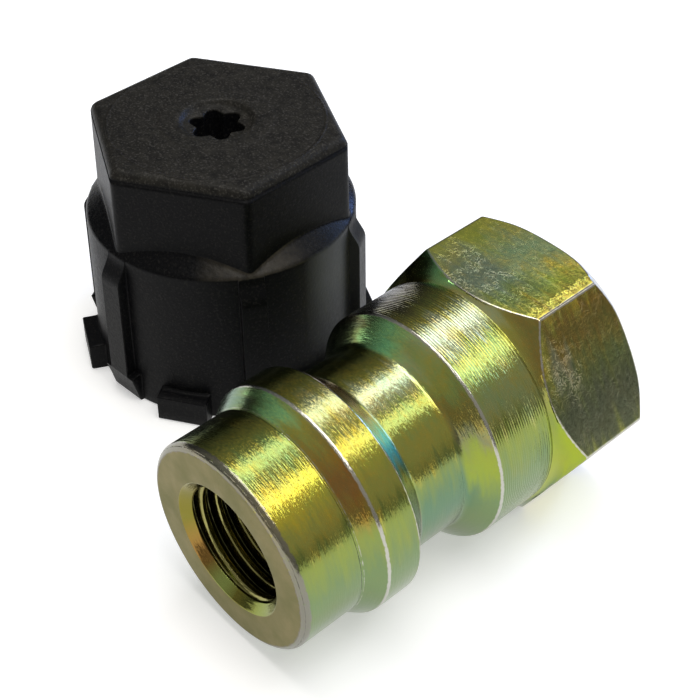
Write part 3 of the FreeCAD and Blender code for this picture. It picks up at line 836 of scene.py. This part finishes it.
def patch_mask(nodes, along, angle, patch):
    middle, reach, turn, spread = patch
    values = {"Middle": middle, "Reach": reach, "Turn": turn, "Spread": spread}
    return use_group(nodes, PATCH, Along=along, Angle=angle, **values)["Mask"]


def tinted(nodes, film, along, angle, patches):
    """The film with patches of other tints laid over it, some of them painted highlights and painted
    reflections.
    """
    for tint, strength, *patch in patches:
        share = nodes.product(patch_mask(nodes, along, angle, patch), strength)
        film = nodes.mix(share, film, tint)
    return film


def body_faces(nodes, along, out):
    """Masks of the flats and all behind them, of all in front of their cone, and of both end faces."""
    # On the 45 degree cone in front of the hexagon, Along less Out stays the same
    past_cone = HEX_CORNER_FRONT - HEX_CORNER_R
    from_cone = nodes.maths("SUBTRACT", along, out)
    on_flats = nodes.stretch(from_cone, past_cone + 0.02, past_cone + 0.12)
    past_collar = nodes.stretch(along, CONE_FRONT - 0.1, CONE_FRONT + 0.1)
    turned = nodes.maths("SUBTRACT", 1.0, past_collar)
    tip = nodes.stretch(along, 0.03, 0.01)
    tip = nodes.product(tip, nodes.stretch(out, PORT_SINK_R - 0.05, PORT_SINK_R + 0.05))
    end = nodes.stretch(along, BODY_LENGTH - 0.03, BODY_LENGTH - 0.01)
    end = nodes.product(end, nodes.stretch(out, LINE_SINK_R, LINE_SINK_R + 0.1))
    return on_flats, turned, nodes.largest(tip, end)


def outer_film(nodes, along, out, angle, from_top, on_flats, cloud):
    """The coating on the outside: olive above and green below, the green partly a painted reflection
    of the table, with patches of other tints, painted highlights and painted reflections.
    """
    # Green below: partly the coating's tint, partly a painted reflection of the table
    film = nodes.mix(nodes.stretch(from_top, *TO_LIME), OLIVE, LIME)
    film = nodes.mix(nodes.stretch(from_top, *TO_LEAF), film, LEAF)
    film = tinted(nodes, film, along, angle, TINT_PATCHES)
    flats = nodes.mix(nodes.stretch(cloud, 0.35, 0.65), STRAW, CORN)
    film = nodes.mix(on_flats, film, tinted(nodes, flats, along, angle, FLAT_PATCHES))
    # Along and Out add up to the same all over the 45 degree rear chamfer, and to less on the flats.
    # The chamfer is coloured with a painted blue reflection.
    past_flats = HEX_CORNER_REAR + HEX_CORNER_R
    to_rear = nodes.maths("ADD", along, out)
    return nodes.mix(nodes.stretch(to_rear, past_flats - 0.12, past_flats - 0.02), film, BLUE_REFLECTION)


def livened(nodes, film, from_top, cloud, specks):
    """The film with warmer and cooler clouds and specks, which are fainter on the underside."""
    warmer = nodes.mix(1.0, film, WARMER, "MULTIPLY")
    cooler = nodes.mix(1.0, film, COOLER, "MULTIPLY")
    lively = nodes.stretch(from_top, *reversed(TO_LIME), 0.25, 1.0)
    warm = nodes.stretch(cloud, 0.52, 0.72, 0.0, 0.5)
    warm = nodes.maths("ADD", warm, nodes.stretch(specks, 0.55, 0.7, 0.0, 0.4))
    cool = nodes.stretch(cloud, 0.48, 0.28, 0.0, 0.4)
    cool = nodes.maths("ADD", cool, nodes.stretch(specks, 0.45, 0.3, 0.0, 0.3))
    film = nodes.mix(nodes.product(warm, lively), film, warmer)
    return nodes.mix(nodes.product(cool, lively), film, cooler)


def bore_film(nodes, film, along, out, angle, cloud):
    """The film with the tints of the port's countersink and thread inside it, and painted shade in the
    thread's roots.
    """
    inside = nodes.product(nodes.stretch(out, 5.3, 5.15), nodes.stretch(along, 9.0, 8.5))
    root_shade_mask = nodes.product(nodes.stretch(out, 4.6, 4.95), nodes.stretch(along, 0.6, 0.9))
    sink = tinted(nodes, nodes.mix(cloud, AMBER, HAY), along, angle, SINK_PATCHES)
    # The thread's roots are darkened with painted shade
    thread = nodes.mix(root_shade_mask, CREST, ROOT_SHADE)
    sink = nodes.mix(nodes.stretch(along, 0.72, 0.9), sink, thread)
    return nodes.mix(inside, film, sink)


def scratched_places(nodes, point, along, angle, on_flats):
    """Mask of the scratches and scuffs, which are thickest near the front of the hexagon's flats."""
    top = patch_mask(nodes, along, angle, TOP_SCUFFS)
    right = patch_mask(nodes, along, angle, RIGHT_SCUFFS)
    amount = nodes.stretch(on_flats, 0.0, 1.0, 0.25, 1.0)
    scuffs = nodes.product(nodes.maths("ADD", 0.35, nodes.largest(top, right)), amount)
    scratches = nodes.product(amount, 0.5)
    return use_group(nodes, SCRATCHES, Place=point, Scratches=scratches, Scuffs=scuffs)["Mask"]


def worn_film(nodes, film, point, along, scratched):
    """The film with its scratches, and chipped off along the edges."""
    film = nodes.mix(nodes.product(scratched, 0.55), film, SCUFF)
    edge = nodes.add("ShaderNodeAttribute", attribute_name="wear").outputs["Fac"]
    ragged = nodes.stretch(nodes.noise(point, 2600.0, 3.0, 0.7), 0.0, 1.0, -0.6, 0.6)
    chipped = nodes.stretch(nodes.maths("ADD", edge, ragged), 0.45, 0.75)
    chip = nodes.mix(nodes.stretch(along, 1.0, 3.0), WORN, BARE)
    return nodes.mix(nodes.product(chipped, 0.85), film, chip)


def feed_lines(nodes, along):
    """Even lines of the tool's feed on the collar."""
    front = nodes.stretch(along, COLLAR_FRONT - 0.05, COLLAR_FRONT + 0.15)
    rear = nodes.stretch(along, COLLAR_REAR + 0.1, COLLAR_REAR - 0.1)
    wave = nodes.maths("SINE", nodes.product(along, 2 * math.pi / FEED_PITCH))
    return nodes.product(nodes.product(front, rear), wave)


def dragged_edge(nodes, angle, fine, on_flats):
    """How far the top flat is dragged over beside its right edge, as an angle in radians."""
    ragged_angle = nodes.maths("ADD", angle, nodes.stretch(fine, 0.3, 0.7, -2.5, 2.5))
    from_flat = nodes.stretch(ragged_angle, 26.0, 28.5)
    return nodes.product(from_flat, nodes.stretch(angle, 30.0, 29.7), on_flats, 0.45)


def leaned_round_axis(nodes, lean):
    """The surface's normal, leaned round the adapter's axis by an angle in radians."""
    normal = nodes.add("ShaderNodeNewGeometry").outputs["Normal"]
    sideways = nodes.vector("CROSS_PRODUCT", tuple(ALONG), normal)
    leaned = nodes.vector("ADD", normal, nodes.vector("MULTIPLY", sideways, lean))
    return nodes.vector("NORMALIZE", leaned)


def chromated_steel():
    """Yellow chromate over zinc: olive and gold, greener below partly as a painted reflection of the
    table, with painted highlights and painted reflections, and turning marks round the axis.
    """
    material, nodes, shader = new_material("yellow chromate")
    place = use_group(nodes, PLACE)
    along, out, angle, ring = (place[name] for name in ("Along", "Out", "Angle", "Ring"))
    point = nodes.point()
    marks = use_group(nodes, MARKS, Ring=ring, Lines=9.6, Streaks=5.2)
    grain = use_group(nodes, GRAIN, Place=point, Fine=3000.0, Broad=420.0)
    fine, cloud = grain["Grain"], grain["Clouds"]
    wander = nodes.stretch(nodes.noise(ring, 1.6, 3.0, 0.6), 0.3, 0.7, -8.0, 8.0)
    loose_angle = nodes.maths("ADD", angle, wander)
    from_top = nodes.maths("ABSOLUTE", nodes.maths("SUBTRACT", loose_angle, LIVELY_SIDE))
    on_flats, turned, face = body_faces(nodes, along, out)
    specks = nodes.between(on_flats, marks["Specks"], fine)
    scratched = scratched_places(nodes, point, along, angle, on_flats)

    film = outer_film(nodes, along, out, loose_angle, from_top, on_flats, cloud)
    film = livened(nodes, film, from_top, cloud, specks)
    film = bore_film(nodes, film, along, out, angle, cloud)
    film = nodes.mix(face, film, nodes.mix(nodes.stretch(cloud, 0.35, 0.65), TAN, DARK_TAN))
    film = worn_film(nodes, film, point, along, scratched)
    nodes.feed(shader["Base Color"], film)

    bright = nodes.product(patch_mask(nodes, along, angle, BRIGHT_TEAL), 0.45)
    matt = nodes.largest(nodes.product(scratched, 0.35), bright)
    nodes.feed(shader["Metallic"], nodes.maths("SUBTRACT", 1.0, matt))
    rough = nodes.stretch(specks, 0.3, 0.7, 0.13, 0.22)
    rough_face = nodes.product(face, nodes.stretch(cloud, 0.3, 0.7, 0.42, 0.56))
    rough = nodes.largest(rough, rough_face, nodes.product(scratched, 0.5))
    nodes.feed(shader["Roughness"], rough)

    # Each streak of the turned surface leans its own way, and less so on the underside
    lean = nodes.stretch(marks["Specks"], 0.3, 0.7, -0.065, 0.065)
    lean = nodes.product(lean, turned, nodes.stretch(from_top, 28.0, 42.0, 1.0, 0.35))
    lean = nodes.maths("ADD", lean, dragged_edge(nodes, angle, fine, on_flats))
    height = nodes.product(marks["Rings"], nodes.stretch(face, 0.0, 1.0, 1.0, 0.5))
    height = nodes.product(height, nodes.largest(turned, face))
    height = nodes.maths("ADD", height, nodes.product(feed_lines(nodes, along), 0.38))
    lined = nodes.bump(height, RING_HEIGHT, leaned_round_axis(nodes, lean))
    quiet = nodes.stretch(from_top, 34.0, 50.0, 1.0, 0.35)
    speckled = nodes.bump(nodes.product(specks, quiet), SPECK_HEIGHT, lined)
    nodes.join(nodes.bump(scratched, -SCRATCH_DEPTH, speckled), shader["Normal"])
    return material


# Colours of the cap: clean plastic, dust and specks on its top, a painted sheen by the front corner of
# its shoulder, and a painted sheen on one side of its skirt
BLACK = (0.0024, 0.0025, 0.0032)
DUST = (0.021, 0.0195, 0.0162)
PALE_SPECK = (0.048, 0.045, 0.040)
CORNER_SHEEN = (0.041, 0.036, 0.028)
SKIRT_SHEEN = (0.052, 0.055, 0.059)

# Where the cap's shoulder and skirt carry painted sheen, in radians from +X, and the moulding's rings
# on its top
CORNER_SHEEN_SIDE = CAP_TURN + 0.04
SKIRT_SHEEN_SIDE = math.radians(14.0)
LAND_R = 4.6
RING_R = 8.6


def towards(nodes, from_axis, direction, low, high):
    """A mask that is full on the side of an upright axis that faces the direction.

    Direction is in radians from +X. Low and high are cosines of the angle away from it.
    """
    facing = (math.cos(direction), math.sin(direction), 0.0)
    share = nodes.vector("DOT_PRODUCT", nodes.vector("NORMALIZE", from_axis), facing)
    return nodes.stretch(share, low, high)


def on_shoulder(nodes, out, height):
    """Mask of the cone between the cap's head and its skirt, for a height in metres."""
    slope = nodes.maths("ADD", out, nodes.product(height, 1000 * SHOULDER_SLOPE))
    away = nodes.maths("SUBTRACT", slope, SKIRT_TOP_R + SHOULDER_SLOPE * SKIRT_TOP)
    return nodes.stretch(nodes.maths("ABSOLUTE", away), 0.2, 0.08)


def cap_plastic():
    """Black moulded plastic with a fine grain, a dusty top with the moulding's faint rings, and
    painted sheen on its shoulder and skirt.
    """
    material, nodes, shader = new_material("black moulded plastic")
    point = nodes.point()
    from_foot = nodes.vector("SUBTRACT", point, tuple(CAP_FOOT * MM))
    from_axis = nodes.vector("MULTIPLY", from_foot, (1000, 1000, 0))
    out = nodes.vector("LENGTH", from_axis)
    split = nodes.add("ShaderNodeSeparateXYZ")
    nodes.join(point, split.inputs[0])
    height = split.outputs["Z"]
    top = nodes.stretch(height, 0.0208, 0.0210)
    shoulder = on_shoulder(nodes, out, height)
    moulding = use_group(nodes, GRAIN, Place=point, Fine=3600.0, Broad=260.0)
    dusting = use_group(nodes, GRAIN, Place=point, Fine=5200.0, Broad=1500.0)
    mottle = nodes.stretch(dusting["Clouds"], 0.3, 0.7, 0.45, 1.3)

    dust = nodes.product(nodes.stretch(moulding["Clouds"], 0.2, 0.7, 0.55, 1.0), mottle)
    colour = nodes.mix(nodes.product(dust, top), BLACK, DUST)
    speckle = nodes.stretch(dusting["Grain"], 0.53, 0.66)
    speckle = nodes.product(speckle, nodes.stretch(top, 0.0, 1.0, 0.2, 0.9))
    colour = nodes.mix(speckle, colour, PALE_SPECK)
    # Painted sheen by the front corner of the shoulder
    by_corner = nodes.product(shoulder, towards(nodes, from_axis, CORNER_SHEEN_SIDE, 0.90, 0.995))
    colour = nodes.mix(nodes.product(by_corner, mottle), colour, CORNER_SHEEN)
    # Painted sheen on one side of the skirt
    skirt_sheen = towards(nodes, from_axis, SKIRT_SHEEN_SIDE, 0.955, 0.995)
    skirt_sheen = nodes.product(skirt_sheen, nodes.stretch(height, 0.004, 0.011))
    skirt_sheen = nodes.product(skirt_sheen, nodes.stretch(height, 0.0141, 0.0138))
    nodes.feed(shader["Base Color"], nodes.mix(skirt_sheen, colour, SKIRT_SHEEN))

    rough = nodes.stretch(moulding["Grain"], 0.3, 0.7, 0.36, 0.5)
    rough = nodes.maths("SUBTRACT", rough, nodes.product(shoulder, 0.16))
    nodes.feed(shader["Roughness"], rough)
    shader["Specular IOR Level"].default_value = 0.09
    land = nodes.stretch(out, LAND_R + 0.15, LAND_R - 0.15)
    from_ring = nodes.maths("ABSOLUTE", nodes.maths("SUBTRACT", out, RING_R))
    rings = nodes.maths("ADD", land, nodes.stretch(from_ring, 0.14, 0.04))
    moulded = nodes.bump(nodes.product(rings, top), 0.00006, strength=0.8)
    nodes.join(nodes.bump(moulding["Grain"], 0.00004, moulded, 0.5), shader["Normal"])
    return material


# Colours of the small pieces inside
BRASS = (0.75, 0.55, 0.26)
WIRE = (0.6, 0.6, 0.58)
SEAL_BLACK = (0.012, 0.012, 0.012)
SEAL_BLOOM = (0.03, 0.03, 0.03)


def plain_metal(name, colour, roughness, marks):
    """Bare metal with a fine grain and turning marks, whose height is given in metres."""
    material, nodes, shader = new_material(name)
    wear = use_group(nodes, GRAIN, Place=nodes.point(), Fine=1500.0, Broad=300.0)["Grain"]
    ring = use_group(nodes, PLACE)["Ring"]
    rings = use_group(nodes, MARKS, Ring=ring, Lines=14.0, Streaks=1.5)["Rings"]
    nodes.join(nodes.bump(rings, marks), shader["Normal"])
    dull = tuple(0.6 * c for c in colour)
    shade = nodes.mix(nodes.stretch(wear, 0.3, 0.7, 0.0, 0.35), colour, dull)
    nodes.feed(shader["Base Color"], shade)
    shader["Metallic"].default_value = 1.0
    nodes.feed(shader["Roughness"], nodes.stretch(wear, 0.3, 0.7, roughness, roughness + 0.12))
    return material


def seal_rubber():
    """Black rubber with a faint grey bloom."""
    material, nodes, shader = new_material("seal rubber")
    bloom = use_group(nodes, GRAIN, Place=nodes.point(), Fine=4000.0, Broad=900.0)["Clouds"]
    nodes.feed(shader["Base Color"], nodes.mix(bloom, SEAL_BLACK, SEAL_BLOOM))
    shader["Roughness"].default_value = 0.6
    return material


chromate = chromated_steel()
plastic = cap_plastic()
brass = plain_metal("core brass", BRASS, 0.25, 0.000012)
wire = plain_metal("spring wire", WIRE, 0.22, 0.000002)
rubber = seal_rubber()

body.data.materials.append(chromate)
cap.data.materials.append(plastic)
spring.data.materials.append(wire)
FINISHES = (
    (brass, ("core_plug", "core_barrel", "core_poppet", "depressor")),
    (wire, ("core_pin",)),
    (rubber, ("core_seal_ring", "poppet_seal", "line_seal_ring", "cap_seal_ring")),
)
for finish, carried_over in FINISHES:
    for node in carried_over:
        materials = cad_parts[node].data.materials
        materials.clear()
        materials.append(finish)


def white_table():
    """A white table, lifted to the white of the background for whatever looks straight at it.

    The lift is larger far away, where less of the studio's light falls.
    """
    material, nodes, shader = new_material("white table")
    shader["Base Color"].default_value = (0.86, 0.86, 0.86, 1.0)
    shader["Roughness"].default_value = 0.9
    shader["Emission Color"].default_value = (1.0, 1.0, 1.0, 1.0)
    rays = nodes.add("ShaderNodeLightPath").outputs
    seen = [rays[name] for name in ("Is Camera Ray", "Is Glossy Ray", "Is Transmission Ray")]
    lift = nodes.stretch(nodes.vector("LENGTH", nodes.point()), 0.25, 1.2, 0.40, 0.95)
    nodes.feed(shader["Emission Strength"], nodes.product(nodes.largest(*seen), lift))
    return material


def table_top(half):
    """The flat top of the table, as a square with this half width in metres."""
    mesh = bpy.data.meshes.new("table")
    corners = [(-half, -half, 0.0), (half, -half, 0.0), (half, half, 0.0), (-half, half, 0.0)]
    mesh.from_pydata(corners, [], [(0, 1, 2, 3)])
    mesh.materials.append(white_table())
    sheet = bpy.data.objects.new("table", mesh)
    bpy.context.scene.collection.objects.link(sheet)


table_top(1.5)

# Soft boxes: name, direction from the point they face, distance, width and length in metres,
# brightness and colour
WHITE = (1.0, 1.0, 1.0)
LAMPS = (
    ("left window", (-0.27, 0.50, 0.82), 0.40, 0.10, 0.22, 1.65, WHITE),
    ("right window", (0.33, 0.50, 0.80), 0.40, 0.08, 0.22, 1.75, WHITE),
    ("sky window", (0.15, 0.87, 0.47), 0.35, 0.16, 0.12, 2.8, (0.42, 0.60, 1.0)),
    ("low sky window", (-0.08, 0.95, 0.28), 0.35, 0.07, 0.06, 13.0, (0.25, 0.42, 1.0)),
    ("overhead", (0.10, 0.0, 1.0), 0.70, 0.80, 0.30, 3.4, (1.0, 0.98, 0.95)),
)
LAMP_AIM = Vector((0.0, 0.0, 0.01))


def soft_light(name, direction, distance, width, length, brightness, colour):
    """A soft box that faces the object, its length as near to the Y axis as it can lie."""
    light = bpy.data.lights.new(name, "AREA")
    light.shape = "RECTANGLE"
    light.size = width
    light.size_y = length
    light.energy = brightness * 4 * width * length
    light.color = colour
    away = Vector(direction).normalized()
    lengthways = Vector((0.0, 1.0, 0.0)) - away.y * away
    lengthways.normalize()
    lamp = bpy.data.objects.new(name, light)
    facing = Matrix((lengthways.cross(away), lengthways, away)).transposed().to_4x4()
    lamp.matrix_world = Matrix.Translation(away * distance + LAMP_AIM) @ facing
    bpy.context.scene.collection.objects.link(lamp)


for lamp_values in LAMPS:
    soft_light(*lamp_values)


# The room: the side that it grows lighter towards, and the colours of its left and right walls
LIGHTER_SIDE = (0.85, -0.35, 0.5)
COOL_WALL = (0.9, 0.96, 1.0)
WARM_WALL = (1.0, 0.98, 0.93)


def studio_world():
    """A warm grey room, darker and cooler on its left side, and dimmer near the horizon."""
    world = bpy.data.worlds.new("studio")
    world.use_nodes = True
    nodes = Nodes(world.node_tree)
    background = world.node_tree.nodes["Background"].inputs
    direction = nodes.add("ShaderNodeTexCoord").outputs["Generated"]
    from_left = nodes.stretch(nodes.vector("DOT_PRODUCT", direction, LIGHTER_SIDE), -0.65, 0.05)
    nodes.feed(background["Color"], nodes.mix(from_left, COOL_WALL, WARM_WALL))
    up = nodes.vector("DOT_PRODUCT", direction, (0.0, 0.0, 1.0))
    from_horizon = nodes.stretch(up, 0.1, 0.35, 0.65, 1.0)
    strength = nodes.stretch(from_left, 0.0, 1.0, 0.08, 0.38)
    nodes.feed(background["Strength"], nodes.product(strength, from_horizon))
    return world


bpy.context.scene.world = studio_world()

# The camera's place in metres, its own axes in the scene, and its lens in millimetres
CAMERA_PLACE = Vector((0.067019, -0.054258, 0.081816))
CAMERA_RIGHT = Vector((0.67384, 0.73886, 0.00559))
CAMERA_DOWN = Vector((0.48345, -0.43516, -0.75954))
CAMERA_AHEAD = Vector((-0.55876, 0.51451, -0.65043))
CAMERA_LENS = 74.683

lens = bpy.data.cameras.new("photo")
lens.sensor_width = 36
lens.lens = CAMERA_LENS
lens.clip_start = 0.005
camera = bpy.data.objects.new("photo", lens)
camera_axes = Matrix((CAMERA_RIGHT, -CAMERA_DOWN, -CAMERA_AHEAD)).transposed()
camera.matrix_world = Matrix.Translation(CAMERA_PLACE) @ camera_axes.to_4x4()
bpy.context.scene.collection.objects.link(camera)
bpy.context.scene.camera = camera
bpy.context.scene.view_settings.view_transform = "Standard"
